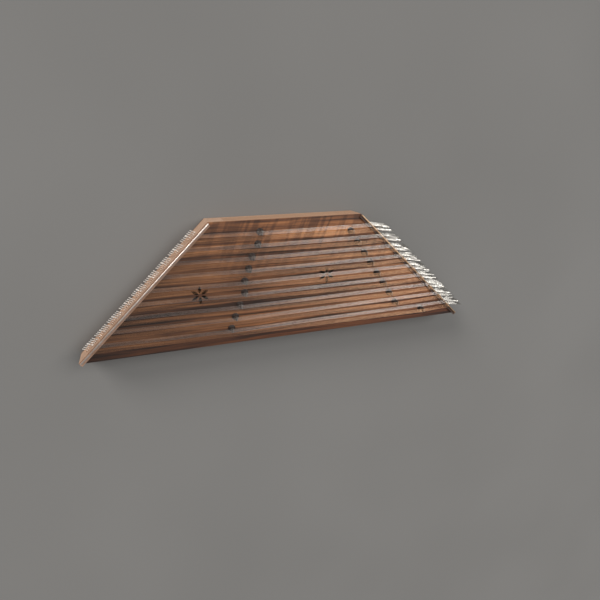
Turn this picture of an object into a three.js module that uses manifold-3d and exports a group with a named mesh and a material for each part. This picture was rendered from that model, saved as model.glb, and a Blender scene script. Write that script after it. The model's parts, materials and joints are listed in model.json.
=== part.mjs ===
// A trapezoid hammered dulcimer of the santur kind, in millimetres, +Z up.
// The origin is the centre of the back board's underside. The strings run along X, the long edge
// is the front one (-Y), the hitch pins are on the left (-X) and the tuning pins on the right (+X).
import * as THREE from "three";
import { mergeVertices } from "three/addons/utils/BufferGeometryUtils.js";
import Module from "manifold-3d";

const wasm = await Module();
wasm.setup();

// Body
const FRONT_WIDTH = 900;
const REAR_WIDTH = 344;
const DEPTH = 272;
const HEIGHT = 60;
const BOARD = 6; // thickness of the soundboard and of the back board
const RAIL = 10; // thickness of the front and rear rails
const HITCH_BLOCK = 24; // across the left block, square to its slanted face
const TUNING_BLOCK = 34; // across the right block, square to its slanted face
const GAP = 0.3; // left between glued faces

// Courses of strings
const COURSES = 9; // of each metal
const COURSE_PITCH = 26.2;
const FIRST_STEEL_Y = -DEPTH / 2 + 36.5; // the steel course nearest the front edge
const BRONZE_OFFSET = 11; // each bronze course lies this far in front of its steel course
const STRINGS_PER_COURSE = 4;
const STRING_PITCH = 2.2;
const STRING_SIDE = 0.4;
const OVER_NUT = 8.4; // underside of a string above the soundboard at a nut
const OVER_BRIDGE = 20.2; // and above a bridge

// Nuts and their rods
const NUT_WIDTH = 7.5; // square to the slanted edge
const NUT_SET_BACK = 0.6; // from the slanted edge to the nut's outer face
const NUT_HEIGHT = 4.4;
const NUT_SHOULDER = 0.6; // height of the nut's outer face, below its chamfer
const NUT_CHAMFER = 1.5;
const NUT_END = 1.5; // the nuts stop this far short of the front and rear edges
const ROD_RADIUS = 1.5;
const ROD_INSET = 2.2; // from the slanted edge to the rod's axis, square to the edge
const ROD_BITE = 0.15; // how far a string sinks into the rod it is joined to
const OTHER_ROD_CLEARANCE = 0.6; // and how far it passes above the other one

// Bridges
const STEEL_BRIDGE_REAR_X = -67;
const STEEL_BRIDGE_FRONT_X = -137;
const STEEL_BRIDGE_TUNING = [3, 6, 1, 1, 0, 7, 4, 1, 0]; // how far each stands to the right of that line
const BRONZE_BRIDGE_REAR_X = 146;
const BRONZE_BRIDGE_EIGHTH_X = 267;
const BRONZE_BRIDGE_FRONT_X = 342; // the lowest bronze course has its bridge set far to the right
const BRIDGE_FOOT_RADIUS = 7.5;
const BRIDGE_HEAD = new THREE.Vector3(4.6, 10.4, 6.6);
const BRIDGE_SEGMENTS = 10;
const BRIDGE_TRAVEL = 8; // a bridge is tapped this far either way to tune its course
const STRING_CLEARANCE = 0.3;

// Pins
const PIN_RADIUS = 2.1;
const PIN_IN_BLOCK = 24;
const PIN_OUT = 53;
const PIN_AZIMUTH = THREE.MathUtils.degToRad(-10); // the pins lean a little towards the front
const PIN_SIDES = 8;
const PIN_SQUARE = 3; // across the flats of the key's square
const PIN_SQUARE_LENGTH = 16;
const BORE_RADIUS = 2.7;
// The four pins of a course stand in a slanted row on their block, the front one the highest, so
// that each string drops clear of the pins above it.
const PIN_PITCH_Y = 1.5;
const PINS_SHIFT = -0.6; // along Y, from the course to the middle of its pins
const TOP_PIN_Z = HEIGHT - 15;
const PIN_STEP_Z = 6; // from one pin of a row down to the next
const HITCH_Z = HEIGHT - 24;
const PIN_REACH = 7.5; // how far outside the face, along X, a string meets its tuning pin
const HITCH_REACH = 7.5; // how far outside the face a string's loop sits on its hitch pin

// Rosettes and sound posts
const ROSETTES = [
  [-199, -17],
  [88, 1],
];
const PETALS = 6;
const PETAL_INNER = 3.2;
const PETAL_OUTER = 20.5;
const PETAL_HALF_WIDTH = 3.4;
const POST_RADIUS = 6;
const SOUND_POSTS = [
  [-205, -82],
  [-60, 30],
  [55, -70],
  [125, 60],
  [215, -40],
];

const FRONT = -DEPTH / 2;
const REAR = DEPTH / 2;
const TOP = HEIGHT;
const SLANT = Math.hypot((FRONT_WIDTH - REAR_WIDTH) / 2, DEPTH);
const ALONG_X = SLANT / DEPTH; // a width square to the slanted edge, measured along X instead

const walnut = new THREE.MeshStandardMaterial({ color: 0x7a4a32, roughness: 0.45 });
const pale_walnut = new THREE.MeshStandardMaterial({ color: 0x8f6248, roughness: 0.5 });
const inner_wood = new THREE.MeshStandardMaterial({ color: 0xb98d62, roughness: 0.7 });
const dark_wood = new THREE.MeshStandardMaterial({ color: 0x2a1712, roughness: 0.35 });
const bright_steel = new THREE.MeshStandardMaterial({ color: 0xd0d0cc, roughness: 0.25, metalness: 1 });
const string_steel = new THREE.MeshStandardMaterial({ color: 0xb9b4aa, roughness: 0.3, metalness: 1 });
const string_bronze = new THREE.MeshStandardMaterial({ color: 0xc98a45, roughness: 0.3, metalness: 1 });

const santur = new THREE.Group();

// Half the body's width at depth y.
function halfWidth(y) {
  const share = (y - FRONT) / DEPTH;
  return THREE.MathUtils.lerp(FRONT_WIDTH, REAR_WIDTH, share) / 2;
}

// A closed geometry, in its own place, as a manifold-3d solid.
function solidOf(geometry, matrix = new THREE.Matrix4()) {
  const bare = geometry.clone().applyMatrix4(matrix);
  bare.deleteAttribute("normal");
  bare.deleteAttribute("uv");
  const merged = mergeVertices(bare, 1e-4);
  return new wasm.Manifold(
    new wasm.Mesh({
      numProp: 3,
      vertProperties: merged.attributes.position.array,
      triVerts: new Uint32Array(merged.index.array),
    }),
  );
}

function geometryOf(solid) {
  const mesh = solid.getMesh();
  const geometry = new THREE.BufferGeometry();
  geometry.setAttribute("position", new THREE.BufferAttribute(mesh.vertProperties, 3));
  geometry.setIndex(new THREE.BufferAttribute(mesh.triVerts, 1));
  geometry.computeVertexNormals();
  return geometry;
}

function addPiece(name, geometry, material) {
  const mesh = new THREE.Mesh(geometry, material);
  mesh.name = name;
  santur.add(mesh);
  return mesh;
}

// A flat outline given as [x, y] points, from height low to height high.
function prism(outline, low, high, holes = []) {
  const shape = new THREE.Shape(outline.map(([x, y]) => new THREE.Vector2(x, y)));
  shape.holes = holes;
  const geometry = new THREE.ExtrudeGeometry(shape, { depth: high - low, bevelEnabled: false });
  return geometry.translate(0, 0, low);
}

// A strip along the right slanted edge (side 1) or the left one (side -1), between two distances
// from that edge and between two depths.
function slantedStrip(side, outer, inner, frontY, rearY, low, high) {
  const at = (inset, y) => [side * (halfWidth(y) - inset * ALONG_X), y];
  const outline = [at(outer, frontY), at(outer, rearY), at(inner, rearY), at(inner, frontY)];
  return prism(side > 0 ? outline : outline.reverse(), low, high);
}

// ---- Boards, rails and blocks ----

function bodyOutline() {
  return [
    [-halfWidth(FRONT), FRONT],
    [halfWidth(FRONT), FRONT],
    [halfWidth(REAR), REAR],
    [-halfWidth(REAR), REAR],
  ];
}

// One rosette petal: a lozenge with curved flanks, pointing away from the rosette's centre.
function petalHole([centreX, centreY], index) {
  const turn = Math.PI / 2 + (index * 2 * Math.PI) / PETALS;
  const place = (along, across) =>
    new THREE.Vector2(along, across).rotateAround(new THREE.Vector2(), turn).add(
      new THREE.Vector2(centreX, centreY),
    );
  const middle = THREE.MathUtils.lerp(PETAL_INNER, PETAL_OUTER, 0.45);
  const points = [
    place(PETAL_INNER, 0),
    place((PETAL_INNER + middle) / 2, PETAL_HALF_WIDTH * 0.72),
    place(middle, PETAL_HALF_WIDTH),
    place((PETAL_OUTER + middle) / 2, PETAL_HALF_WIDTH * 0.72),
    place(PETAL_OUTER, 0),
    place((PETAL_OUTER + middle) / 2, -PETAL_HALF_WIDTH * 0.72),
    place(middle, -PETAL_HALF_WIDTH),
    place((PETAL_INNER + middle) / 2, -PETAL_HALF_WIDTH * 0.72),
  ];
  return new THREE.Path(points);
}

function addBoards() {
  addPiece("back_board", prism(bodyOutline(), 0, BOARD), pale_walnut);
  const holes = [];
  for (const centre of ROSETTES) {
    for (let petal = 0; petal < PETALS; petal += 1) {
      holes.push(petalHole(centre, petal));
    }
  }
  addPiece("soundboard", prism(bodyOutline(), TOP - BOARD, TOP, holes), walnut);
}

function addRail(name, frontY, rearY) {
  const left = (y) => -halfWidth(y) + HITCH_BLOCK * ALONG_X + GAP;
  const right = (y) => halfWidth(y) - TUNING_BLOCK * ALONG_X - GAP;
  const outline = [
    [left(frontY), frontY],
    [right(frontY), frontY],
    [right(rearY), rearY],
    [left(rearY), rearY],
  ];
  addPiece(name, prism(outline, BOARD + GAP, TOP - BOARD - GAP), pale_walnut);
}

// ---- Where courses, strings and pins lie ----

// The eighteen courses from the rear to the front.
function allCourses() {
  const courses = [];
  for (let number = 1; number <= COURSES; number += 1) {
    const steelY = FIRST_STEEL_Y + (COURSES - number) * COURSE_PITCH;
    const share = (number - 1) / (COURSES - 1);
    const bronzeShare = (number - 1) / (COURSES - 2);
    courses.push({
      metal: "steel",
      number,
      y: steelY,
      bridgeX:
        THREE.MathUtils.lerp(STEEL_BRIDGE_REAR_X, STEEL_BRIDGE_FRONT_X, share) +
        STEEL_BRIDGE_TUNING[number - 1],
    });
    courses.push({
      metal: "bronze",
      number,
      y: steelY - BRONZE_OFFSET,
      bridgeX:
        number === COURSES
          ? BRONZE_BRIDGE_FRONT_X
          : THREE.MathUtils.lerp(BRONZE_BRIDGE_REAR_X, BRONZE_BRIDGE_EIGHTH_X, bronzeShare),
    });
  }
  return courses;
}

// The four strings of a course from front to rear, each with its own tuning pin.
function stringsOf(course) {
  const strings = [];
  for (let index = 0; index < STRINGS_PER_COURSE; index += 1) {
    const step = index - (STRINGS_PER_COURSE - 1) / 2;
    strings.push({
      y: course.y + step * STRING_PITCH,
      pinY: course.y + step * PIN_PITCH_Y + PINS_SHIFT,
      pinZ: TOP_PIN_Z - index * PIN_STEP_Z,
    });
  }
  return strings;
}

// The matrix that lays a pin built along +Z from the block's face on its real axis.
function pinMatrix(pinY, pinZ) {
  const outward = new THREE.Vector3(Math.cos(PIN_AZIMUTH), Math.sin(PIN_AZIMUTH), 0);
  const turn = new THREE.Quaternion().setFromUnitVectors(new THREE.Vector3(0, 0, 1), outward);
  const face = new THREE.Vector3(halfWidth(pinY), pinY, pinZ);
  return new THREE.Matrix4().compose(face, turn, new THREE.Vector3(1, 1, 1));
}

// ---- Pin blocks, nuts and rods ----

function addBlocks(courses) {
  const low = BOARD + GAP;
  const high = TOP - BOARD - GAP;
  addPiece("hitch_pin_block", slantedStrip(-1, 0, HITCH_BLOCK, FRONT, REAR, low, high), pale_walnut);
  let block = solidOf(slantedStrip(1, 0, TUNING_BLOCK, FRONT, REAR, low, high));
  // Each bore starts outside the slanted face, so that it is open all round.
  const outside = 8;
  const depth = PIN_IN_BLOCK + 0.5;
  const bore = new THREE.CylinderGeometry(BORE_RADIUS, BORE_RADIUS, depth + outside, PIN_SIDES);
  bore.rotateX(Math.PI / 2).translate(0, 0, (outside - depth) / 2);
  for (const course of courses) {
    const lead = stringsOf(course)[0];
    block = block.subtract(solidOf(bore, pinMatrix(lead.pinY, lead.pinZ)));
  }
  addPiece("tuning_pin_block", geometryOf(block), pale_walnut);
}

// The nut's section is laid across the slanted edge and swept along it.
function addNut(name, side) {
  const section = new THREE.Shape([
    new THREE.Vector2(NUT_SET_BACK, 0),
    new THREE.Vector2(NUT_SET_BACK + NUT_WIDTH, 0),
    new THREE.Vector2(NUT_SET_BACK + NUT_WIDTH, NUT_HEIGHT),
    new THREE.Vector2(NUT_SET_BACK + NUT_CHAMFER, NUT_HEIGHT),
    new THREE.Vector2(NUT_SET_BACK, NUT_SHOULDER),
  ]);
  const length = SLANT * (1 - (2 * NUT_END) / DEPTH);
  const geometry = new THREE.ExtrudeGeometry(section, { depth: length, bevelEnabled: false });
  const rearY = REAR - NUT_END;
  const frontY = FRONT + NUT_END;
  const start = side > 0 ? frontY : rearY;
  const end = side > 0 ? rearY : frontY;
  const from = new THREE.Vector3(side * halfWidth(start), start, TOP + GAP);
  const along = new THREE.Vector3(side * halfWidth(end), end, TOP + GAP).sub(from).normalize();
  const up = new THREE.Vector3(0, 0, 1);
  const inward = new THREE.Vector3().crossVectors(up, along);
  geometry.applyMatrix4(new THREE.Matrix4().makeBasis(inward, up, along).setPosition(from));
  addPiece(name, geometry, walnut);
}

// The X of the rod's axis at depth y.
function rodX(side, y) {
  return side * (halfWidth(y) - ROD_INSET * ALONG_X);
}

function rodGeometry(side) {
  const rearY = REAR - NUT_END;
  const frontY = FRONT + NUT_END;
  const height = TOP + OVER_NUT - ROD_RADIUS;
  const rear = new THREE.Vector3(rodX(side, rearY), rearY, height);
  const front = new THREE.Vector3(rodX(side, frontY), frontY, height);
  const line = new THREE.Vector3().subVectors(rear, front);
  const rod = new THREE.CylinderGeometry(ROD_RADIUS, ROD_RADIUS, line.length(), PIN_SIDES);
  rod.rotateY(Math.PI / PIN_SIDES);
  const lay = new THREE.Matrix4().makeBasis(
    new THREE.Vector3().crossVectors(line.clone().normalize(), new THREE.Vector3(0, 0, 1)),
    line.clone().normalize(),
    new THREE.Vector3(0, 0, 1),
  );
  return rod.applyMatrix4(lay.setPosition(rear.add(front).multiplyScalar(0.5)));
}

// ---- Strings ----

// One string in the upright plane at its own y: from the hitch pin up the left face, over the left
// rod, level over the bridge's travel, over the right rod and down to its tuning pin. It is joined to
// the rod on its own side, and passes clear of the other one.
function stringSolid(course, string, ownSide) {
  const half = STRING_SIDE / 2;
  const width = halfWidth(string.y);
  const bridgeZ = TOP + OVER_BRIDGE + half;
  const flat = BRIDGE_TRAVEL + BRIDGE_HEAD.x / 2 + 1;
  const overRod = (side, angle) => {
    const radius = ROD_RADIUS + half + (side === ownSide ? -ROD_BITE : OTHER_ROD_CLEARANCE);
    const x = rodX(side, string.y) + side * radius * ALONG_X * Math.sin(angle);
    return [x, TOP + OVER_NUT - ROD_RADIUS + radius * Math.cos(angle)];
  };
  const centre = [
    [-width - HITCH_REACH, HITCH_Z],
    overRod(-1, Math.PI / 4),
    overRod(-1, 0),
    [course.bridgeX - flat, bridgeZ],
    [course.bridgeX + flat, bridgeZ],
    overRod(1, 0),
    overRod(1, Math.PI / 4),
    [width + PIN_REACH, string.pinZ + PIN_RADIUS + STRING_CLEARANCE + STRING_SIDE],
  ];
  const flank = (sign) =>
    centre.map(([x, z], index) => {
      const before = centre[Math.max(index - 1, 0)];
      const after = centre[Math.min(index + 1, centre.length - 1)];
      const run = new THREE.Vector2(after[0] - before[0], after[1] - before[1]).normalize();
      return new THREE.Vector2(x - run.y * half * sign, z + run.x * half * sign);
    });
  const shape = new THREE.Shape([...flank(-1), ...flank(1).reverse()]);
  const wire = new THREE.ExtrudeGeometry(shape, { depth: STRING_SIDE, bevelEnabled: false });
  wire.rotateX(Math.PI / 2).translate(0, string.y + half, 0);
  return solidOf(wire);
}

// The strings of one metal and the rod that they share, as one solid.
function addStrings(name, courses, ownSide, material) {
  const wires = courses.flatMap((course) =>
    stringsOf(course).map((string) => stringSolid(course, string, ownSide)),
  );
  const joined = wires.reduce((all, wire) => all.add(wire), solidOf(rodGeometry(ownSide)));
  addPiece(name, geometryOf(joined), material);
}

// ---- Bridges, tuning pins and sound posts ----

function bridgeGeometry() {
  const height = OVER_BRIDGE - STRING_CLEARANCE;
  const headLow = height - BRIDGE_HEAD.z;
  const profile = [
    [0, GAP],
    [BRIDGE_FOOT_RADIUS, GAP],
    [BRIDGE_FOOT_RADIUS, 2.4],
    [4.4, 5],
    [3.1, headLow - 2.6],
    [4.6, headLow + 0.4],
    [0, headLow + 0.4],
  ];
  const points = profile.map(([radius, z]) => new THREE.Vector2(radius, z));
  const turned = new THREE.LatheGeometry(points, BRIDGE_SEGMENTS).rotateX(Math.PI / 2);
  const head = new THREE.BoxGeometry(BRIDGE_HEAD.x, BRIDGE_HEAD.y, BRIDGE_HEAD.z);
  head.translate(0, 0, height - BRIDGE_HEAD.z / 2);
  return geometryOf(solidOf(turned).add(solidOf(head)));
}

function addBridges(courses) {
  const geometry = bridgeGeometry();
  for (const course of courses) {
    const bridge = addPiece(`${course.metal}_bridge_${course.number}`, geometry, dark_wood);
    bridge.position.set(course.bridgeX, course.y, TOP);
  }
}

function tuningPinGeometry() {
  const round = PIN_IN_BLOCK + PIN_OUT - PIN_SQUARE_LENGTH;
  const shank = new THREE.CylinderGeometry(PIN_RADIUS, PIN_RADIUS, round, PIN_SIDES);
  shank.rotateX(Math.PI / 2).translate(0, 0, round / 2 - PIN_IN_BLOCK);
  const overlap = 1;
  const square = new THREE.BoxGeometry(PIN_SQUARE, PIN_SQUARE, PIN_SQUARE_LENGTH + overlap);
  square.translate(0, 0, PIN_OUT - (PIN_SQUARE_LENGTH + overlap) / 2);
  return geometryOf(solidOf(shank).add(solidOf(square)));
}

// The first of each course's four tuning pins, which is the front and highest one.
function addTuningPins(courses) {
  const geometry = tuningPinGeometry();
  for (const course of courses) {
    const lead = stringsOf(course)[0];
    const pin = addPiece(`${course.metal}_tuning_pin_${course.number}`, geometry, bright_steel);
    pin.applyMatrix4(pinMatrix(lead.pinY, lead.pinZ));
  }
}

function addSoundPosts() {
  const length = HEIGHT - 2 * (BOARD + GAP);
  SOUND_POSTS.forEach(([x, y], index) => {
    const post = new THREE.CylinderGeometry(POST_RADIUS, POST_RADIUS, length, 12);
    post.rotateX(Math.PI / 2).translate(x, y, HEIGHT / 2);
    addPiece(`sound_post_${index + 1}`, post, inner_wood);
  });
}

const courses = allCourses();
const steelCourses = courses.filter((course) => course.metal === "steel");
const bronzeCourses = courses.filter((course) => course.metal === "bronze");

addBoards();
addRail("front_rail", FRONT, FRONT + RAIL);
addRail("rear_rail", REAR - RAIL, REAR);
addBlocks(courses);
addSoundPosts();
addNut("left_nut", -1);
addNut("right_nut", 1);
addStrings("steel_strings", steelCourses, -1, string_steel);
addStrings("bronze_strings", bronzeCourses, 1, string_bronze);
addBridges(courses);
addTuningPins(courses);

export default santur;
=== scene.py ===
"""A trapezoid hammered dulcimer of the santur kind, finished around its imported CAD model.

The boards, rails, hitch block and nuts are the CAD's own nodes, with eased edges and wood finishes.
The bridges, tuning pins, tuning block, sound posts, rods and strings are finer pieces that stand for
the plain CAD nodes. Everything is in metres in the CAD's frame: the strings run along X, the long
edge is at the front (-Y), and the top of the soundboard is at TOP.
"""

import json
import math
import random

import bmesh
import bpy
from mathutils import Matrix, Vector


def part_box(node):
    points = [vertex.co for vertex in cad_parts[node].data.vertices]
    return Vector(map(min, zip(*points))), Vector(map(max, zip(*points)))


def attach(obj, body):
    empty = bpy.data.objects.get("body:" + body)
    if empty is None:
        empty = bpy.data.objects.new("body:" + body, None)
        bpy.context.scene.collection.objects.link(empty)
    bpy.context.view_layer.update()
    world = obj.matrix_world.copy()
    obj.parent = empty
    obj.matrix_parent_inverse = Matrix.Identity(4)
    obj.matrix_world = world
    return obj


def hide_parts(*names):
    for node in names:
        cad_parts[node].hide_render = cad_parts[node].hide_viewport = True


MM = 0.001
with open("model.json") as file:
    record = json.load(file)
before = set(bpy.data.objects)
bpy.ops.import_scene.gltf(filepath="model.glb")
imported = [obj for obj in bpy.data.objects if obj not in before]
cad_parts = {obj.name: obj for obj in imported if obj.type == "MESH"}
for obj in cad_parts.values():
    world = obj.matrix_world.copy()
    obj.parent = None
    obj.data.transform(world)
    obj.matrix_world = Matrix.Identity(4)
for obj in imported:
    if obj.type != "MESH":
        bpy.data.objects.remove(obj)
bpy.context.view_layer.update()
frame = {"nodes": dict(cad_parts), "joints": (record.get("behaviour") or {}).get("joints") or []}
nodes = frame["nodes"]
chance = random.Random(72)

# ---- Camera: over the rear left corner, looking down across the soundboard ----

CAMERA_PLACE = Vector((-293.6, 288.5, 1063.6)) * MM
CAMERA_AIM = Vector((71.5, -58.8, 60.0)) * MM
CAMERA_UP = Vector((0.110, 0.951, -0.289))
CAMERA_LENS = 28.93
CAMERA_SHIFT_X = -0.0333

# ---- Measures that the frame gives ----

board_low, board_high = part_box("soundboard")
TOP = board_high.z
FRONT = board_low.y
REAR = board_high.y
DEPTH = REAR - FRONT
FRONT_HALF = board_high.x
REAR_HALF = max(v.co.x for v in nodes["soundboard"].data.vertices if v.co.y > REAR - MM)
SLANT = math.hypot(FRONT_HALF - REAR_HALF, DEPTH)
ALONG_X = SLANT / DEPTH  # a width square to a slanted edge, measured along X instead
LEFT_EDGE = Vector((FRONT_HALF - REAR_HALF, DEPTH, 0)) / SLANT  # along it, front to rear
EDGE_TURN = math.atan2(LEFT_EDGE.y, LEFT_EDGE.x)

COURSES = 9
STRINGS_PER_COURSE = 4
METALS = ("steel", "bronze")

# ---- Measures of the fine pieces ----

WIRE_RADIUS = 0.18 * MM
WIRE_SIDES = 8
STRING_PITCH = 2.2 * MM
OVER_BRIDGE = 20.4 * MM  # a string's axis above the soundboard at its bridge
LEVEL_STRETCH = 9.0 * MM  # either side of a bridge, where the string runs level

ROD_RADIUS = 1.5 * MM
ROD_INSET = 2.2 * MM
ROD_HEIGHT = 6.9 * MM  # the rod's axis above the soundboard
ROD_END = 2 * MM  # the rods stop this far short of the front and rear edges

PIN_RADIUS = 2.1 * MM
PIN_IN_BLOCK = 20 * MM
PIN_OUT = 53 * MM
PIN_PITCH_Y = 1.5 * MM
PIN_STEP_Z = 6 * MM  # each pin of a course is this much lower than the one in front of it
COIL_START = 7.4 * MM  # how far out on its pin a string's coil begins
COIL_TURNS = 4
COIL_PITCH = 0.43 * MM
COIL_STEPS = 14  # in each turn
COIL_LANDING = 0.9  # the string meets its coil this share of a radius to the rear of the pin's axis
BORE_RADIUS = 2.25 * MM

HITCH_DROP = 24 * MM  # below the soundboard's face
HITCH_PITCH = 3.25 * MM  # along Y, so that the 72 hitch pins are evenly spread
HITCH_REACH = 7.5 * MM  # along X, from the left face to a string's loop
HITCH_PIN_RADIUS = 1.0 * MM
HITCH_PIN_OUT = 12 * MM
HITCH_PIN_TURN = math.radians(26)  # from the strings' direction towards the rear
HITCH_PIN_WAY = Vector((-math.cos(HITCH_PIN_TURN), math.sin(HITCH_PIN_TURN), 0))
TWIST_LENGTH = 14 * MM
TWIST_TURNS = 10

ARRIS = 0.7 * MM  # how far the body's outer edges are eased


def half_width(y):
    """Half the body's width at depth y."""
    return FRONT_HALF + (REAR_HALF - FRONT_HALF) * (y - FRONT) / DEPTH


# ---- Building meshes ----


class Shape:
    """Gathers rings of points and their faces, which become one piece."""

    def __init__(self):
        self.points = []
        self.faces = []
        self.finishes = []

    def add_faces(self, points, faces, finish=0):
        start = len(self.points)
        self.points.extend(points)
        self.faces.extend(tuple(start + i for i in face) for face in faces)
        self.finishes.extend([finish] * len(faces))

    def add_rings(self, rings, finish=0, closed=False):
        """A skin over rings of equal length. Its two ends are filled, or joined if it is closed."""
        count = len(rings[0])
        points = [point for ring in rings for point in ring]
        faces = []
        for index in range(len(rings) if closed else len(rings) - 1):
            here = index * count
            there = (index + 1) % len(rings) * count
            for k in range(count):
                after = (k + 1) % count
                faces.append((here + k, here + after, there + after, there + k))
        if not closed:
            last = (len(rings) - 1) * count
            faces.append(tuple(reversed(range(count))))
            faces.append(tuple(range(last, last + count)))
        self.add_faces(points, faces, finish)

    def piece(self, name, materials, crease=40):
        """The finished object, smooth except where its faces meet more sharply than crease degrees."""
        mesh = bpy.data.meshes.new(name)
        mesh.from_pydata([tuple(point) for point in self.points], [], self.faces)
        for material in materials:
            mesh.materials.append(material)
        mesh.polygons.foreach_set("material_index", self.finishes)
        work = bmesh.new()
        work.from_mesh(mesh)
        bmesh.ops.recalc_face_normals(work, faces=work.faces)
        work.to_mesh(mesh)
        work.free()
        mesh.shade_smooth()
        mesh.set_sharp_from_angle(angle=math.radians(crease))
        made = bpy.data.objects.new(name, mesh)
        bpy.context.scene.collection.objects.link(made)
        return made


def tube(path, radius, sides=WIRE_SIDES):
    """Rings of a round tube along a path of points."""
    rings = []
    across = (path[1] - path[0]).orthogonal().normalized()
    for index, point in enumerate(path):
        before = path[max(index - 1, 0)]
        after = path[min(index + 1, len(path) - 1)]
        along = (after - before).normalized()
        across = (across - along * across.dot(along)).normalized()
        upright = along.cross(across)
        ring = []
        for k in range(sides):
            angle = 2 * math.pi * k / sides
            ring.append(point + (across * math.cos(angle) + upright * math.sin(angle)) * radius)
        rings.append(ring)
    return rings


def turned(profile, segments, place=None):
    """Rings of a turned shape: profile is (radius, height) pairs, and place lays its Z axis."""
    place = place or Matrix()
    rings = []
    for radius, height in profile:
        ring = []
        for k in range(segments):
            angle = 2 * math.pi * k / segments
            ring.append(place @ Vector((radius * math.cos(angle), radius * math.sin(angle), height)))
        rings.append(ring)
    return rings


def rounded_square_ring(half, power, segments, place, height, wide=1.0):
    """A ring from round (power 2) to nearly square (power 10), wide times as long along Y."""
    ring = []
    for k in range(segments):
        angle = 2 * math.pi * k / segments
        c = math.cos(angle)
        s = math.sin(angle)
        reach = half / (abs(c) ** power + abs(s) ** power) ** (1 / power)
        ring.append(place @ Vector((reach * c, reach * s * wide, height)))
    return ring


def laid_along(origin, direction, spin=0.0):
    """The matrix that lays +Z along direction from origin, turned by spin about it."""
    turn = direction.to_track_quat("Z", "Y").to_matrix().to_4x4()
    return Matrix.Translation(origin) @ turn @ Matrix.Rotation(spin, 4, "Z")


def evaluated_mesh(made):
    graph = bpy.context.evaluated_depsgraph_get()
    return bpy.data.meshes.new_from_object(made.evaluated_get(graph))


# ---- Materials ----


class Finish:
    """A Principled material and the few kinds of node that it is built from."""

    def __init__(self, name, roughness, metallic=0.0, coat=0.0, coat_roughness=0.1):
        self.material = bpy.data.materials.new(name)
        self.material.use_nodes = True
        self.tree = self.material.node_tree
        self.shader = self.tree.nodes["Principled BSDF"]
        self.shader.inputs["Roughness"].default_value = roughness
        self.shader.inputs["Metallic"].default_value = metallic
        self.shader.inputs["Coat Weight"].default_value = coat
        self.shader.inputs["Coat Roughness"].default_value = coat_roughness
        self.place = self.add("ShaderNodeTexCoord").outputs["Object"]

    def add(self, kind, inputs=None, **settings):
        made = self.tree.nodes.new(kind)
        for key, value in settings.items():
            setattr(made, key, value)
        for key, value in (inputs or {}).items():
            if isinstance(value, bpy.types.NodeSocket):
                self.tree.links.new(value, made.inputs[key])
            else:
                made.inputs[key].default_value = value
        return made

    def scaled(self, scale, turn=0.0, source=None):
        """Places scaled by scale, after a turn about Z."""
        turned_place = self.add(
            "ShaderNodeMapping", {"Vector": source or self.place, "Rotation": (0, 0, turn)}
        )
        return self.add(
            "ShaderNodeMapping", {"Vector": turned_place.outputs[0], "Scale": scale}
        ).outputs[0]

    def noise(self, place, detail=2.0, roughness=0.5, colour=False):
        made = self.add(
            "ShaderNodeTexNoise",
            {"Vector": place, "Scale": 1.0, "Detail": detail, "Roughness": roughness},
        )
        return made.outputs["Color" if colour else "Fac"]

    def math(self, operation, a, b=0.0):
        return self.add("ShaderNodeMath", {0: a, 1: b}, operation=operation).outputs[0]

    def times(self, a, b):
        return self.math("MULTIPLY", a, b)

    def blend(self, a, share, b):
        """The share of a, and the rest of b."""
        return self.math("ADD", self.times(a, share), self.times(b, 1 - share))

    def spread(self, value, low, high, to_low=0.0, to_high=1.0):
        """Value between low and high, stretched smoothly to to_low..to_high."""
        return self.add(
            "ShaderNodeMapRange",
            {"Value": value, "From Min": low, "From Max": high, "To Min": to_low, "To Max": to_high},
            interpolation_type="SMOOTHSTEP",
        ).outputs["Result"]

    def ramp(self, value, stops):
        """Stops are (position, colour) pairs."""
        made = self.add("ShaderNodeValToRGB", {"Fac": value})
        elements = made.color_ramp.elements
        while len(elements) < len(stops):
            elements.new(0.5)
        for element, (position, colour) in zip(elements, stops):
            element.position = position
            element.color = (*colour, 1.0)
        return made.outputs["Color"]

    def mix(self, kind, amount, a, b):
        inputs = {0: amount}
        for key, colour in ((6, a), (7, b)):
            inputs[key] = colour if isinstance(colour, bpy.types.NodeSocket) else (*colour, 1.0)
        made = self.add("ShaderNodeMix", inputs, data_type="RGBA", blend_type=kind)
        return made.outputs[2]

    def part(self, index):
        """One of the X, Y, Z of the place, as 0, 1, 2."""
        return self.add("ShaderNodeSeparateXYZ", {0: self.place}).outputs[index]

    def colour(self, value):
        self.tree.links.new(value, self.shader.inputs["Base Color"])

    def roughness(self, value):
        self.tree.links.new(value, self.shader.inputs["Roughness"])

    def bump(self, height, distance, strength=1.0):
        made = self.add(
            "ShaderNodeBump", {"Height": height, "Distance": distance, "Strength": strength}
        )
        self.tree.links.new(made.outputs[0], self.shader.inputs["Normal"])


def wandering_grain(finish, turn, sway):
    """Places along the grain, whose lines wander sideways by about sway metres."""
    drift = finish.noise(finish.scaled((3.0, 14.0, 14.0), turn), detail=2.0, colour=True)
    centred = finish.add(
        "ShaderNodeVectorMath", {0: drift, 1: (0.5, 0.5, 0.5)}, operation="SUBTRACT"
    ).outputs[0]
    moved = finish.add(
        "ShaderNodeVectorMath", {0: centred, 1: (0.0, sway, sway)}, operation="MULTIPLY"
    ).outputs[0]
    turned_place = finish.scaled((1, 1, 1), turn)
    return finish.add(
        "ShaderNodeVectorMath", {0: turned_place, 1: moved}, operation="ADD"
    ).outputs[0]


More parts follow.
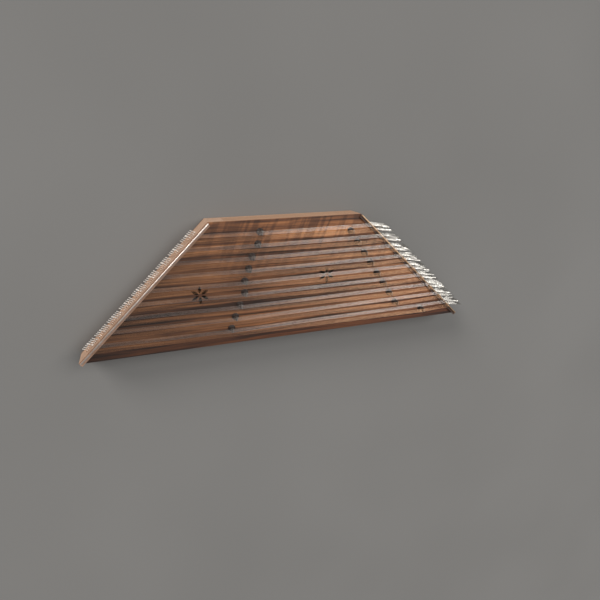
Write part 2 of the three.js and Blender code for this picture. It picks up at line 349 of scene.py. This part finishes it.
def wood_figure(finish, turn, sway, streak_width, band_width):
    """The streaks, bands and pores of a sawn face, each from 0 to 1. Widths are in metres."""
    grain = wandering_grain(finish, turn, sway)
    fine = 1 / streak_width
    wide = 1 / band_width
    streaks = finish.noise(finish.scaled((4.0, fine, fine), 0, grain), detail=4.0, roughness=0.6)
    bands = finish.noise(finish.scaled((1.6, wide, wide), 0, grain), detail=2.0)
    pores = finish.noise(finish.scaled((220.0, 4600.0, 4600.0), 0, grain), detail=1.0)
    return streaks, bands, pores


def soundboard_walnut():
    """Figured walnut: dark streaks along the strings, greyer at the left, and a flame at the rear."""
    finish = Finish("soundboard_walnut_figured", 0.50, coat=0.03, coat_roughness=0.30)
    finish.shader.inputs["Specular IOR Level"].default_value = 0.35
    streaks, bands, pores = wood_figure(finish, 0.0, 0.018, 5 * MM, 24 * MM)
    wood = finish.ramp(
        finish.blend(streaks, 0.55, bands),
        [
            (0.37, (0.016, 0.006, 0.003)),
            (0.45, (0.072, 0.027, 0.011)),
            (0.53, (0.155, 0.062, 0.023)),
            (0.64, (0.300, 0.132, 0.052)),
        ],
    )
    x = finish.part(0)
    y = finish.part(1)
    front_right = finish.times(finish.spread(x, 0.10, 0.34), finish.spread(y, 0.0, -0.11))
    tints = [
        (finish.spread(x, -0.05, -0.36), (0.72, 0.78, 0.92)),  # the left third
        (finish.spread(x, 0.08, 0.34), (1.35, 1.40, 1.55)),  # the right third
        (front_right, (0.76, 0.68, 0.62)),
        (finish.spread(y, 0.03, 0.11), (1.30, 1.30, 1.30)),  # the rear
        (finish.spread(y, -0.112, -0.122), (0.60, 0.50, 0.45)),  # painted shade: the strip along the front edge is darkened
    ]
    for share, tint in tints:
        wood = finish.mix("MULTIPLY", share, wood, tint)
    flame = finish.noise(finish.scaled((92.0, 8.0, 8.0), math.radians(24)), detail=1.0)
    rear_half = finish.times(finish.spread(y, -0.02, 0.09), finish.spread(x, -0.26, -0.10))
    flame_amount = finish.math("ADD", finish.times(rear_half, 0.50), 0.06)
    bars = finish.times(finish.spread(flame, 0.42, 0.58), flame_amount)
    wood = finish.mix("MULTIPLY", bars, wood, (0.22, 0.18, 0.18))
    pore_depth = finish.spread(pores, 0.58, 0.72)
    wood = finish.mix("MULTIPLY", pore_depth, wood, (0.62, 0.58, 0.58))
    finish.colour(wood)
    finish.roughness(finish.spread(streaks, 0.3, 0.7, 0.56, 0.42))
    finish.bump(finish.math("SUBTRACT", finish.times(streaks, 0.3), pore_depth), 0.06 * MM)
    return finish.material


def plain_wood(name, dark, light, turn=0.0, roughness=0.5, coat=0.05):
    """A quieter sawn face, between two colours, with its grain turned about Z."""
    finish = Finish(name, roughness, coat=coat, coat_roughness=0.3)
    streaks, bands, pores = wood_figure(finish, turn, 0.006, 2.5 * MM, 14 * MM)
    wood = finish.ramp(finish.blend(streaks, 0.6, bands), [(0.32, dark), (0.66, light)])
    pore_depth = finish.spread(pores, 0.60, 0.72)
    wood = finish.mix("MULTIPLY", pore_depth, wood, (0.62, 0.56, 0.54))
    finish.colour(wood)
    finish.roughness(finish.spread(streaks, 0.3, 0.7, roughness + 0.08, roughness - 0.04))
    finish.bump(finish.math("SUBTRACT", finish.times(streaks, 0.3), pore_depth), 0.10 * MM)
    return finish.material


def polished_bridge_wood():
    """Nearly black polished hardwood with a faint brown grain along the turning's axis."""
    finish = Finish("bridge_wood_polished", 0.42, coat=0.05, coat_roughness=0.20)
    finish.shader.inputs["Specular IOR Level"].default_value = 0.30
    streaks = finish.noise(finish.scaled((900.0, 900.0, 60.0)), detail=3.0, roughness=0.6)
    finish.colour(finish.ramp(streaks, [(0.36, (0.006, 0.004, 0.003)), (0.70, (0.026, 0.012, 0.008))]))
    finish.roughness(finish.spread(streaks, 0.3, 0.7, 0.36, 0.48))
    finish.bump(streaks, 0.03 * MM)
    return finish.material


def metal(name, dull, bright, roughness, patch=0.012, bump=0.0):
    """Worn metal, mottled between two colours in patches of about patch metres."""
    finish = Finish(name, roughness, metallic=1.0)
    size = 1 / patch
    mottle = finish.noise(finish.scaled((size, size, size)), detail=4.0, roughness=0.65)
    finish.colour(finish.ramp(mottle, [(0.30, dull), (0.62, bright)]))
    finish.roughness(finish.spread(mottle, 0.3, 0.7, roughness + 0.10, roughness - 0.05))
    if bump > 0:
        scratches = finish.noise(finish.scaled((4000.0, 900.0, 900.0)), detail=1.0)
        finish.bump(scratches, bump)
    return finish.material


def wire_metal(name, painted_dim_end, bright):
    """Drawn wire with a painted highlight: its colour is darker towards its hitch pins and brighter
    towards its tuning pins, and mottled at random.
    """
    finish = Finish(name, 0.36, metallic=1.0)
    mottle = finish.noise(finish.scaled((60.0, 60.0, 60.0)), detail=3.0, roughness=0.65)
    # The colour's rise from left to right is a painted highlight, where the strings catch the light.
    along = finish.spread(finish.part(0), -0.30, 0.30)
    share = finish.blend(along, 0.65, mottle)
    finish.colour(finish.ramp(share, [(0.10, painted_dim_end), (0.85, bright)]))
    return finish.material


def floor_material():
    finish = Finish("studio_floor", 0.9)
    finish.shader.inputs["Specular IOR Level"].default_value = 0.1
    cloud = finish.noise(finish.scaled((1.5, 1.5, 1.5)), detail=2.0)
    finish.colour(finish.ramp(cloud, [(0.3, (0.150, 0.150, 0.148)), (0.7, (0.165, 0.165, 0.163))]))
    return finish.material


BODY_DARK = (0.215, 0.118, 0.068)
BODY_LIGHT = (0.430, 0.262, 0.165)
# The hitch block's wood is lighter than the rest of the body: painted light for the left face that the
# light falls on.
HITCH_BLOCK_PAINTED_LIT_DARK = (0.285, 0.175, 0.115)
HITCH_BLOCK_PAINTED_LIT_LIGHT = (0.490, 0.325, 0.230)
LEFT_NUT_DARK = (0.200, 0.118, 0.078)
LEFT_NUT_LIGHT = (0.360, 0.225, 0.160)
# The right nut's wood is near-black: painted shade for its shaded inner face and the shadow it casts on
# the soundboard.
RIGHT_NUT_PAINTED_SHADE_DARK = (0.030, 0.014, 0.009)
RIGHT_NUT_PAINTED_SHADE_LIGHT = (0.080, 0.036, 0.021)
BARE_DARK = (0.42, 0.29, 0.17)
BARE_LIGHT = (0.62, 0.46, 0.29)
walnut_top = soundboard_walnut()
body_along = plain_wood("body_wood_along", BODY_DARK, BODY_LIGHT)
body_left_painted_lit = plain_wood("body_wood_left_painted_light", HITCH_BLOCK_PAINTED_LIT_DARK, HITCH_BLOCK_PAINTED_LIT_LIGHT, turn=-EDGE_TURN)
body_right = plain_wood("body_wood_right", BODY_DARK, BODY_LIGHT, turn=EDGE_TURN)
nut_left = plain_wood("nut_wood_left", LEFT_NUT_DARK, LEFT_NUT_LIGHT, turn=-EDGE_TURN)
# Painted shade: the right nut is made far darker than the left one.
nut_right_painted_shade = plain_wood("nut_wood_right_painted_shade", RIGHT_NUT_PAINTED_SHADE_DARK, RIGHT_NUT_PAINTED_SHADE_LIGHT, turn=EDGE_TURN)
inner_wood = plain_wood("inner_wood_bare", BARE_DARK, BARE_LIGHT, roughness=0.75, coat=0.0)
# Near-black wood for the inside of the body: painted shade for the darkness seen through the rosettes.
painted_shade_wood = plain_wood("inside_wood_painted_shade", (0.008, 0.005, 0.004), (0.020, 0.012, 0.009), coat=0.0)
bridge_wood = polished_bridge_wood()
# The wires' colours run from a dim left end to a bright right end: painted highlight.
steel_wire = wire_metal("steel_wire", (0.36, 0.33, 0.31), (0.74, 0.69, 0.66))
bronze_wire = wire_metal("bronze_wire", (0.36, 0.19, 0.10), (0.70, 0.43, 0.26))
rod_steel = metal("rod_steel", (0.42, 0.38, 0.355), (0.62, 0.57, 0.54), 0.34, bump=0.008 * MM)
rod_bronze = metal("rod_bronze", (0.36, 0.23, 0.14), (0.56, 0.39, 0.25), 0.42, bump=0.008 * MM)
pin_steel = metal("pin_steel_bright", (0.20, 0.19, 0.18), (0.56, 0.55, 0.52), 0.28, 0.006, 0.008 * MM)
hitch_steel = metal("hitch_pin_steel", (0.70, 0.66, 0.62), (0.95, 0.91, 0.87), 0.36)
saddle_steel = metal("saddle_steel", (0.12, 0.11, 0.10), (0.22, 0.205, 0.19), 0.42)
WIRES = {"steel": steel_wire, "bronze": bronze_wire}


# ---- Boards, rails and nuts: the CAD's nodes, with eased edges ----


def clear_imported_normals(made):
    bpy.context.view_layer.objects.active = made
    bpy.ops.mesh.customdata_custom_splitnormals_clear()
    made.data.shade_flat()


def ease_edges(made, width, chosen=None):
    """Rounds a CAD node's edges over width. chosen(a, b) tells which edges, or all the sharp ones."""
    weld = made.modifiers.new("weld", "WELD")
    weld.merge_threshold = 0.005 * MM
    bevel = made.modifiers.new("eased_edges", "BEVEL")
    bevel.width = width
    bevel.segments = 3
    if chosen is None:
        bevel.limit_method = "ANGLE"
        bevel.angle_limit = math.radians(30)
        return
    bevel.limit_method = "WEIGHT"
    mesh = made.data
    weights = mesh.attributes.new("bevel_weight_edge", "FLOAT", "EDGE")
    for edge in mesh.edges:
        a, b = (mesh.vertices[i].co for i in edge.vertices)
        weights.data[edge.index].value = 1.0 if chosen(a, b) else 0.0


def on_outline(point):
    """Whether a point is on the body's outer walls."""
    near = 0.05 * MM
    slanted = abs(abs(point.x) - half_width(point.y)) < near
    return slanted or point.y < FRONT + near or point.y > REAR - near


def on_same_wall(a, b):
    near = 0.05 * MM
    if a.y < FRONT + near and b.y < FRONT + near:
        return True
    if a.y > REAR - near and b.y > REAR - near:
        return True
    slanted = [abs(abs(p.x) - half_width(p.y)) < near for p in (a, b)]
    return all(slanted) and a.x * b.x > 0


def outer_rim(level):
    """Chooses a board's outer edges at the height level, and its four upright corners."""

    def chosen(a, b):
        near = 0.05 * MM
        if not on_same_wall(a, b):
            return False
        if abs(a.z - level) < near and abs(b.z - level) < near:
            return True
        return (a.xy - b.xy).length < near and abs(a.z - b.z) > near

    return chosen


def finish_boards():
    for name, level in (("soundboard", TOP), ("back_board", 0.0)):
        board = nodes[name]
        clear_imported_normals(board)
        ease_edges(board, ARRIS, outer_rim(level))
    back_board = nodes["back_board"]
    back_board.material_slots[0].material = body_along
    # The back board's inner top and the soundboard's inner walls get the near-black painted-shade wood.
    back_board.data.materials.append(painted_shade_wood)
    for face in back_board.data.polygons:
        if face.normal.z > 0.5:
            face.material_index = 1
    soundboard = nodes["soundboard"]
    soundboard.material_slots[0].material = walnut_top
    soundboard.data.materials.append(body_along)
    soundboard.data.materials.append(painted_shade_wood)
    for face in soundboard.data.polygons:
        on_wall = all(on_outline(soundboard.data.vertices[i].co) for i in face.vertices)
        if abs(face.normal.z) < 0.5:
            face.material_index = 1 if on_wall else 2
    for name in ("front_rail", "rear_rail", "hitch_pin_block"):
        clear_imported_normals(nodes[name])
        # The hitch block gets the lighter painted-light wood.
        nodes[name].material_slots[0].material = body_left_painted_lit if "block" in name else body_along


def finish_nuts():
    for name, wood in (("left_nut", nut_left), ("right_nut", nut_right_painted_shade)):
        clear_imported_normals(nodes[name])
        nodes[name].material_slots[0].material = wood
        ease_edges(nodes[name], 0.35 * MM)


# ---- Where the courses, strings and pins lie ----


class Course:
    """One course of four strings, as its bridge and its lead tuning pin in the frame place it."""

    def __init__(self, metal_name, number):
        self.metal = metal_name
        self.number = number
        self.bridge = f"{metal_name}_bridge_{number}"
        self.lead_pin = f"{metal_name}_tuning_pin_{number}"
        low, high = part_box(self.bridge)
        self.y = (low.y + high.y) / 2
        self.bridge_x = (low.x + high.x) / 2
        turn = next(j for j in frame["joints"] if j["name"] == self.lead_pin + "_turn")
        self.lead_face = Vector(turn["pos_m"])
        self.pin_out = -Vector(turn["axis"])


courses = [Course(name, number) for number in range(1, COURSES + 1) for name in METALS]


class String:
    """One string of a course, counted from the front: its depth, its hitch pin and its tuning pin."""

    def __init__(self, course, index):
        self.course = course
        step = index - (STRINGS_PER_COURSE - 1) / 2
        self.y = course.y + step * STRING_PITCH
        loop_y = course.y + step * HITCH_PITCH
        self.loop = Vector((-half_width(loop_y) - HITCH_REACH, loop_y, TOP - HITCH_DROP))
        pin_y = course.lead_face.y + index * PIN_PITCH_Y
        pin_z = course.lead_face.z - index * PIN_STEP_Z
        self.pin_face = Vector((half_width(pin_y), pin_y, pin_z))
        centre = self.pin_face + course.pin_out * COIL_START
        self.coil_radius = PIN_RADIUS + WIRE_RADIUS * 0.9
        self.coil_frame = (centre, Vector((0, 0, 1)), Vector((0, 0, 1)).cross(course.pin_out))
        self.coil_start = self.on_coil(0)

    def on_coil(self, turned_by):
        """The point of the coil's axis line after it has wound round by turned_by radians."""
        centre, up, rearwards = self.coil_frame
        angle = math.asin(COIL_LANDING) + turned_by
        along = self.course.pin_out * COIL_PITCH * turned_by / (2 * math.pi)
        return centre + along + (up * math.cos(angle) + rearwards * math.sin(angle)) * self.coil_radius


strings = [String(course, index) for course in courses for index in range(STRINGS_PER_COURSE)]


# ---- Rods and strings ----


def rod_axis(side, y):
    """The centre of the left rod (side -1) or the right one (side 1) at depth y."""
    return Vector((side * (half_width(y) - ROD_INSET * ALONG_X), y, TOP + ROD_HEIGHT))


def over_rod(side, y, outer, inner, steps=6):
    """The string's arc over a rod, from its outer end at outer to its inner one at inner. Cut at a
    slant, the rod is wider along X, so the arc is drawn on a circle and stretched."""
    axis = rod_axis(side, y)
    radius = ROD_RADIUS + WIRE_RADIUS

    def touch(point, way):
        across = side * (point.x - axis.x) / ALONG_X
        up = point.z - axis.z
        return math.atan2(across, up) - way * math.acos(radius / math.hypot(across, up))

    start = touch(outer, 1)
    end = touch(inner, -1)
    arc = []
    for k in range(steps + 1):
        angle = start + (end - start) * k / steps
        offset = Vector((side * math.sin(angle) * ALONG_X, 0, math.cos(angle))) * radius
        arc.append(axis + offset)
    return arc


def string_path(string):
    """From the hitch pin over the left rod, the bridge and the right rod to the tuning pin."""
    bridge = Vector((string.course.bridge_x, string.y, TOP + OVER_BRIDGE))
    stretch = Vector((LEVEL_STRETCH, 0, 0))
    left = over_rod(-1, string.y, string.loop, bridge - stretch)
    right = over_rod(1, string.y, string.coil_start, bridge + stretch)
    climb = (left[0] - string.loop).normalized()
    start = string.loop + climb * (HITCH_PIN_RADIUS + 2 * WIRE_RADIUS)
    level = [bridge + stretch * share for share in (-1, -0.5, 0, 0.5, 1)]
    return [start, *left, *level, *reversed(right), string.coil_start]


def add_hitch_loop(shape, string, path):
    """The loop round the hitch pin, and the string's own end twisted back along it."""
    sides = 14
    major = HITCH_PIN_RADIUS + WIRE_RADIUS
    climb = (path[1] - path[0]).normalized()
    across = HITCH_PIN_WAY.cross(climb).normalized()
    upright = across.cross(HITCH_PIN_WAY)
    ring = []
    for k in range(sides):
        angle = 2 * math.pi * k / sides
        outward = upright * math.cos(angle) + across * math.sin(angle)
        centre = string.loop + outward * major
        ring.append(
            [
                centre + (outward * math.cos(a) + HITCH_PIN_WAY * math.sin(a)) * WIRE_RADIUS
                for a in (2 * math.pi * j / 6 for j in range(6))
            ]
        )
    shape.add_rings(ring, closed=True)
    steps = TWIST_TURNS * 8
    helix = []
    for k in range(steps + 1):
        share = k / steps
        angle = 2 * math.pi * TWIST_TURNS * share
        swing = (across * math.cos(angle) + HITCH_PIN_WAY * math.sin(angle)) * 1.8 * WIRE_RADIUS
        helix.append(path[0] + climb * TWIST_LENGTH * share + swing)
    shape.add_rings(tube(helix, WIRE_RADIUS, 6))


def add_strings():
    for course in courses:
        shape = Shape()
        for string in (s for s in strings if s.course is course):
            path = string_path(string)
            shape.add_rings(tube(path, WIRE_RADIUS))
            add_hitch_loop(shape, string, path)
        wires = shape.piece(f"{course.metal}_course_{course.number}", [WIRES[course.metal]])
        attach(wires, "body")
        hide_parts(course.metal + "_strings")


def add_rods():
    for side, name, metal_name, finish in (
        (-1, "left_nut_rod", "steel", rod_steel),
        (1, "right_nut_rod", "bronze", rod_bronze),
    ):
        front = rod_axis(side, FRONT + ROD_END)
        rear = rod_axis(side, REAR - ROD_END)
        length = (rear - front).length
        ease = 0.35 * MM
        profile = [
            (ROD_RADIUS - ease, 0),
            (ROD_RADIUS - 0.3 * ease, 0.3 * ease),
            (ROD_RADIUS, ease),
            (ROD_RADIUS, length - ease),
            (ROD_RADIUS - 0.3 * ease, length - 0.3 * ease),
            (ROD_RADIUS - ease, length),
        ]
        shape = Shape()
        shape.add_rings(turned(profile, 24, laid_along(front, (rear - front).normalized())))
        rod = shape.piece(name, [finish])
        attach(rod, "body")
        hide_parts(metal_name + "_strings")


def add_hitch_pins():
    """A plain round-tipped pin for every string's loop."""
    profile = [
        (HITCH_PIN_RADIUS, -5 * MM),
        (HITCH_PIN_RADIUS, HITCH_PIN_OUT - 0.7 * MM),
        (HITCH_PIN_RADIUS * 0.85, HITCH_PIN_OUT - 0.3 * MM),
        (HITCH_PIN_RADIUS * 0.5, HITCH_PIN_OUT - 0.05 * MM),
        (HITCH_PIN_RADIUS * 0.15, HITCH_PIN_OUT),
    ]
    slant = (FRONT_HALF - REAR_HALF) / DEPTH
    to_face = HITCH_REACH / (-HITCH_PIN_WAY.x + slant * HITCH_PIN_WAY.y)
    for course in courses:
        shape = Shape()
        for string in (s for s in strings if s.course is course):
            lean = Vector((chance.uniform(-0.03, 0.03), chance.uniform(-0.03, 0.03), 0.03))
            way = (HITCH_PIN_WAY + lean).normalized()
            face = string.loop - way * to_face
            shape.add_rings(turned(profile, 12, laid_along(face, way)))
        nails = shape.piece(f"{course.metal}_hitch_nails_{course.number}", [hitch_steel])
        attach(nails, "body")


# ---- Tuning pins and their block ----


def add_tuning_pin(shape, string):
    """A round shank with a squared, tapered end for the key, and the string coiled on it."""
    place = laid_along(string.pin_face, string.course.pin_out, chance.uniform(0, math.pi / 2))
    sections = [
        (-PIN_IN_BLOCK, PIN_RADIUS * 0.9, 2),
        (-PIN_IN_BLOCK + 1.0 * MM, PIN_RADIUS, 2),
        (0.60 * PIN_OUT, PIN_RADIUS, 2),
        (0.66 * PIN_OUT, PIN_RADIUS * 0.90, 3),
        (0.70 * PIN_OUT, PIN_RADIUS * 0.76, 8),
        (0.95 * PIN_OUT, PIN_RADIUS * 0.68, 10),
        (0.985 * PIN_OUT, PIN_RADIUS * 0.62, 8),
        (PIN_OUT, PIN_RADIUS * 0.42, 5),
    ]
    segments = 24
    shape.add_rings(
        [rounded_square_ring(half, power, segments, place, at) for at, half, power in sections]
    )
    steps = COIL_TURNS * COIL_STEPS
    coil = [string.on_coil(2 * math.pi * COIL_TURNS * k / steps) for k in range(steps + 1)]
    centre = string.coil_frame[0]
    tail = coil[-1] + (coil[-1] - centre).normalized() * 1.2 * MM
    shape.add_rings(tube([*coil, tail], WIRE_RADIUS, 6), finish=1)


def add_tuning_pins():
    """Each course's lead pin turns on its own body; the other three are fixed in the block."""
    for course in courses:
        own = [s for s in strings if s.course is course]
        lead = Shape()
        add_tuning_pin(lead, own[0])
        pin = lead.piece(course.lead_pin + "_wound", [pin_steel, WIRES[course.metal]])
        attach(pin, course.lead_pin)
        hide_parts(course.lead_pin)
        others = Shape()
        for string in own[1:]:
            add_tuning_pin(others, string)
        pins = others.piece(
            f"{course.metal}_tuning_pins_{course.number}_others", [pin_steel, WIRES[course.metal]]
        )
        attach(pins, "body")


def add_tuning_block():
    """The tuning block with a close bore for each of the 72 pins."""
    block = nodes["tuning_pin_block"]
    depths = [v.co for v in block.data.vertices]
    inner_front = min(p.x for p in depths if p.y < FRONT + MM)
    inner_rear = min(p.x for p in depths if p.y > REAR - MM)
    low, high = (corner.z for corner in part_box("tuning_pin_block"))
    rings = []
    for z in (low, high):
        rings.append(
            [
                Vector((FRONT_HALF, FRONT, z)),
                Vector((REAR_HALF, REAR, z)),
                Vector((inner_rear, REAR, z)),
                Vector((inner_front, FRONT, z)),
            ]
        )
    solid = Shape()
    solid.add_rings(rings)
    made = solid.piece("tuning_pin_block_bored", [body_right], crease=30)
    bores = Shape()
    for string in strings:
        outside = 8 * MM
        profile = [(BORE_RADIUS, -PIN_IN_BLOCK - 0.5 * MM), (BORE_RADIUS, outside)]
        bores.add_rings(turned(profile, 24, laid_along(string.pin_face, string.course.pin_out)))
    cutter = bores.piece("bores", [body_right])
    cut = made.modifiers.new("bores", "BOOLEAN")
    cut.object = cutter
    cut.operation = "DIFFERENCE"
    cut.solver = "EXACT"
    mesh = evaluated_mesh(made)
    made.modifiers.clear()
    made.data = mesh
    mesh.set_sharp_from_angle(angle=math.radians(30))
    bpy.data.objects.remove(cutter)
    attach(made, "body")
    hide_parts("tuning_pin_block")


# ---- Bridges ----

# The turned part of a bridge, from its foot up: (radius, height above the soundboard) in mm.
BRIDGE_PROFILE = [
    (7.4, 0.12),
    (7.85, 0.35),
    (8.0, 0.8),
    (8.0, 1.6),
    (7.8, 2.1),
    (7.3, 2.5),
    (6.3, 2.8),
    (5.7, 3.1),
    (5.5, 3.5),
    (5.8, 3.8),
    (6.1, 4.2),
    (6.05, 4.7),
    (5.6, 5.1),
    (4.8, 5.4),
    (4.2, 5.9),
    (3.8, 6.7),
    (3.5, 7.8),
    (3.4, 9.0),
    (3.5, 9.8),
    (3.9, 10.1),
    (4.4, 10.4),
    (4.5, 10.9),
    (4.2, 11.4),
    (3.7, 11.7),
    (3.5, 12.2),
]
# Its head, flattened across the strings: (height, half along X, half along Y, power) in mm.
BRIDGE_HEAD = [
    (12.9, 3.3, 3.9, 2.2),
    (13.9, 3.1, 4.8, 2.6),
    (15.2, 2.9, 5.3, 3.2),
    (17.0, 2.75, 5.5, 4.0),
    (18.4, 2.5, 5.5, 4.0),
    (19.1, 2.1, 5.4, 4.0),
    (19.5, 1.4, 5.1, 4.0),
]
SADDLE_RADIUS = 0.5 * MM
SADDLE_HALF_LENGTH = 5.6 * MM


def add_bridge(course):
    """A turned bridge like a chess pawn, with a dark steel saddle let into its flattened head."""
    foot = Vector((course.bridge_x, course.y, TOP))
    place = Matrix.Translation(foot)
    segments = 48
    rings = turned([(radius * MM, height * MM) for radius, height in BRIDGE_PROFILE], segments, place)
    for height, half_x, half_y, power in BRIDGE_HEAD:
        rings.append(
            rounded_square_ring(half_x * MM, power, segments, place, height * MM, half_y / half_x)
        )
    shape = Shape()
    shape.add_rings(rings)
    saddle_z = OVER_BRIDGE - WIRE_RADIUS - SADDLE_RADIUS
    start = foot + Vector((0, -SADDLE_HALF_LENGTH, saddle_z))
    ease = 0.3 * MM
    length = 2 * SADDLE_HALF_LENGTH
    profile = [
        (SADDLE_RADIUS - ease, 0),
        (SADDLE_RADIUS, ease),
        (SADDLE_RADIUS, length - ease),
        (SADDLE_RADIUS - ease, length),
    ]
    shape.add_rings(turned(profile, 16, laid_along(start, Vector((0, 1, 0)))), finish=1)
    bridge = shape.piece(course.bridge + "_turned", [bridge_wood, saddle_steel], crease=50)
    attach(bridge, course.bridge)
    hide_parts(course.bridge)


# ---- Sound posts ----


def add_sound_posts():
    for name in sorted(n for n in nodes if n.startswith("sound_post_")):
        low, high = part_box(name)
        middle = (low + high) / 2
        radius = (high.x - low.x) / 2
        length = high.z - low.z
        ease = 0.6 * MM
        profile = [(radius - ease, 0), (radius, ease), (radius, length - ease), (radius - ease, length)]
        shape = Shape()
        foot = Vector((middle.x, middle.y, low.z))
        shape.add_rings(turned(profile, 32, Matrix.Translation(foot)))
        post = shape.piece(name + "_dowel", [inner_wood])
        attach(post, "body")
        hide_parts(name)


# ---- Studio ----


def add_camera():
    lens = bpy.data.cameras.new("camera")
    lens.lens = CAMERA_LENS
    lens.shift_x = CAMERA_SHIFT_X
    lens.clip_start = 0.01
    back = (CAMERA_PLACE - CAMERA_AIM).normalized()
    right = CAMERA_UP.cross(back).normalized()
    up = back.cross(right)
    camera = bpy.data.objects.new("camera", lens)
    turn = Matrix((right, up, back)).transposed().to_4x4()
    camera.matrix_world = Matrix.Translation(CAMERA_PLACE) @ turn
    bpy.context.scene.collection.objects.link(camera)
    bpy.context.scene.camera = camera


def add_soft_light(name, place, strength, width, colour):
    """A distant soft light that shines from place to the origin, width radians across."""
    light = bpy.data.lights.new(name, "SUN")
    light.energy = strength
    light.angle = width
    light.color = colour
    made = bpy.data.objects.new(name, light)
    made.location = place
    made.rotation_euler = (-Vector(place)).to_track_quat("-Z", "Y").to_euler()
    bpy.context.scene.collection.objects.link(made)


def add_studio():
    world = bpy.context.scene.world or bpy.data.worlds.new("studio")
    bpy.context.scene.world = world
    world.use_nodes = True
    sky = world.node_tree.nodes["Background"]
    sky.inputs["Color"].default_value = (1.0, 0.985, 0.97, 1.0)
    sky.inputs["Strength"].default_value = 0.44
    add_soft_light("key", (1.60, 1.10, 2.55), 2.15, 0.62, (1.0, 0.97, 0.93))
    add_soft_light("rear_left", (-0.90, 1.10, 0.52), 3.0, 0.50, (1.0, 0.95, 0.90))
    floor_shape = Shape()
    reach = 60.0
    low = -0.5 * MM
    corners = [(-reach, -reach), (reach, -reach), (reach, reach), (-reach, reach)]
    floor_shape.add_faces([Vector((x, y, low)) for x, y in corners], [(0, 1, 2, 3)])
    floor_shape.piece("floor", [floor_material()])


bpy.context.scene.view_settings.view_transform = "Standard"
add_camera()
finish_boards()
finish_nuts()
add_rods()
add_strings()
add_hitch_pins()
add_tuning_block()
add_tuning_pins()
for course in courses:
    add_bridge(course)
add_sound_posts()
add_studio()

bpy.context.view_layer.update()
